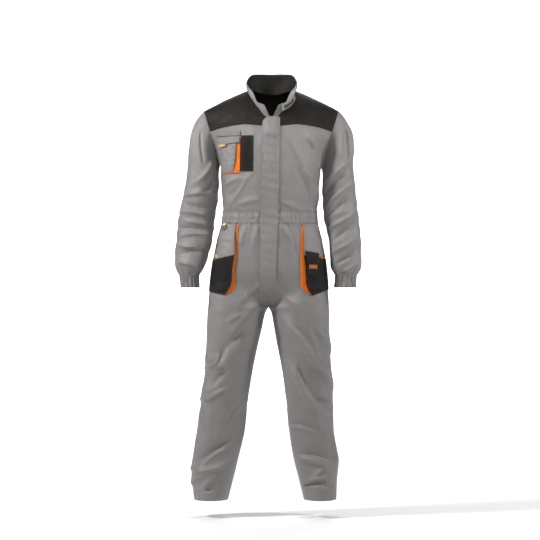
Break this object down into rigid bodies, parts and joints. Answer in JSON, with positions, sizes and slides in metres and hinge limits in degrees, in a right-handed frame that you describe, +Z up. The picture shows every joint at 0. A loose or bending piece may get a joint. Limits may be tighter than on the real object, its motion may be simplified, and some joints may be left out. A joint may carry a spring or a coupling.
{
  "type": "boiler suit",
  "caption": "Grey one-piece work boiler suit in worn form, with black yokes, a stand collar, a covered front zip, elastic waist and cuffs, and bellows pockets with orange gussets.",
  "frame": {"origin": "the middle of the neck base, level with the tops of the shoulders that hold the suit up", "axes": "+Z up, +X to the wearer's left, -Y out of the front"},
  "size_m": [0.6817, 0.2702, 1.5556],
  "materials": {
    "grey_twill": "fine grey work twill with a slight sheen",
    "black_twill": "black work twill",
    "orange_twill": "bright orange twill",
    "yellow_tape": "pale yellow woven tape",
    "zip_tape": "woven zip tape with a moulded chain",
    "hook_tape": "hook tape",
    "dark_metal": "dark plated metal"
  },
  "bodies": {
    "suit": {"front_right": "grey_twill", "front_left": "grey_twill", "back": "grey_twill", "collar": "grey_twill", "placket": "grey_twill", "collar_tab": "grey_twill", "waistband_front_right": "grey_twill", "waistband_front_left": "grey_twill", "waistband_back": "grey_twill", "trouser_front_right": "grey_twill", "trouser_back_right": "grey_twill", "trouser_front_left": "grey_twill", "trouser_back_left": "grey_twill", "sleeve_right": "grey_twill", "sleeve_left": "grey_twill", "cuff_right": "grey_twill", "cuff_left": "grey_twill", "chest_pocket": "grey_twill", "chest_flap": "grey_twill", "chest_flap_band": "grey_twill", "hip_pocket_top_right": "grey_twill", "hip_pocket_top_left": "grey_twill", "yoke_front_right": "black_twill", "yoke_front_left": "black_twill", "yoke_back": "black_twill", "collar_lining": "black_twill", "chest_patch_pocket": "black_twill", "hip_pocket_low_right": "black_twill", "hip_pocket_low_left": "black_twill", "phone_pocket": "black_twill", "phone_flap": "black_twill", "chest_gusset": "orange_twill", "hip_gusset_right": "orange_twill", "hip_gusset_left": "orange_twill", "hip_tab_left": "orange_twill", "phone_label": "orange_twill", "chest_flap_tab": "yellow_tape", "hip_tab_right": "yellow_tape", "ring_strap": "yellow_tape", "zip": "zip_tape", "hook_strip": "hook_tape", "zip_slider": "dark_metal"},
    "tool_ring": {"tool_ring": "dark_metal"},
    "zip_pull": {"zip_pull": "dark_metal"}
  },
  "joints": [
    {"name": "ring_swing", "type": "hinge", "parent": "suit", "child": "tool_ring", "pos_m": [-0.16289, -0.07254, -0.48763], "axis": [-0.593, 0.8052, 0], "range_deg": [0, 75]},
    {"name": "pull_swing", "type": "hinge", "parent": "suit", "child": "zip_pull", "pos_m": [0.0063, -0.12412, -0.11923], "axis": [-1, 0, 0], "range_deg": [0, 8]}
  ]
}
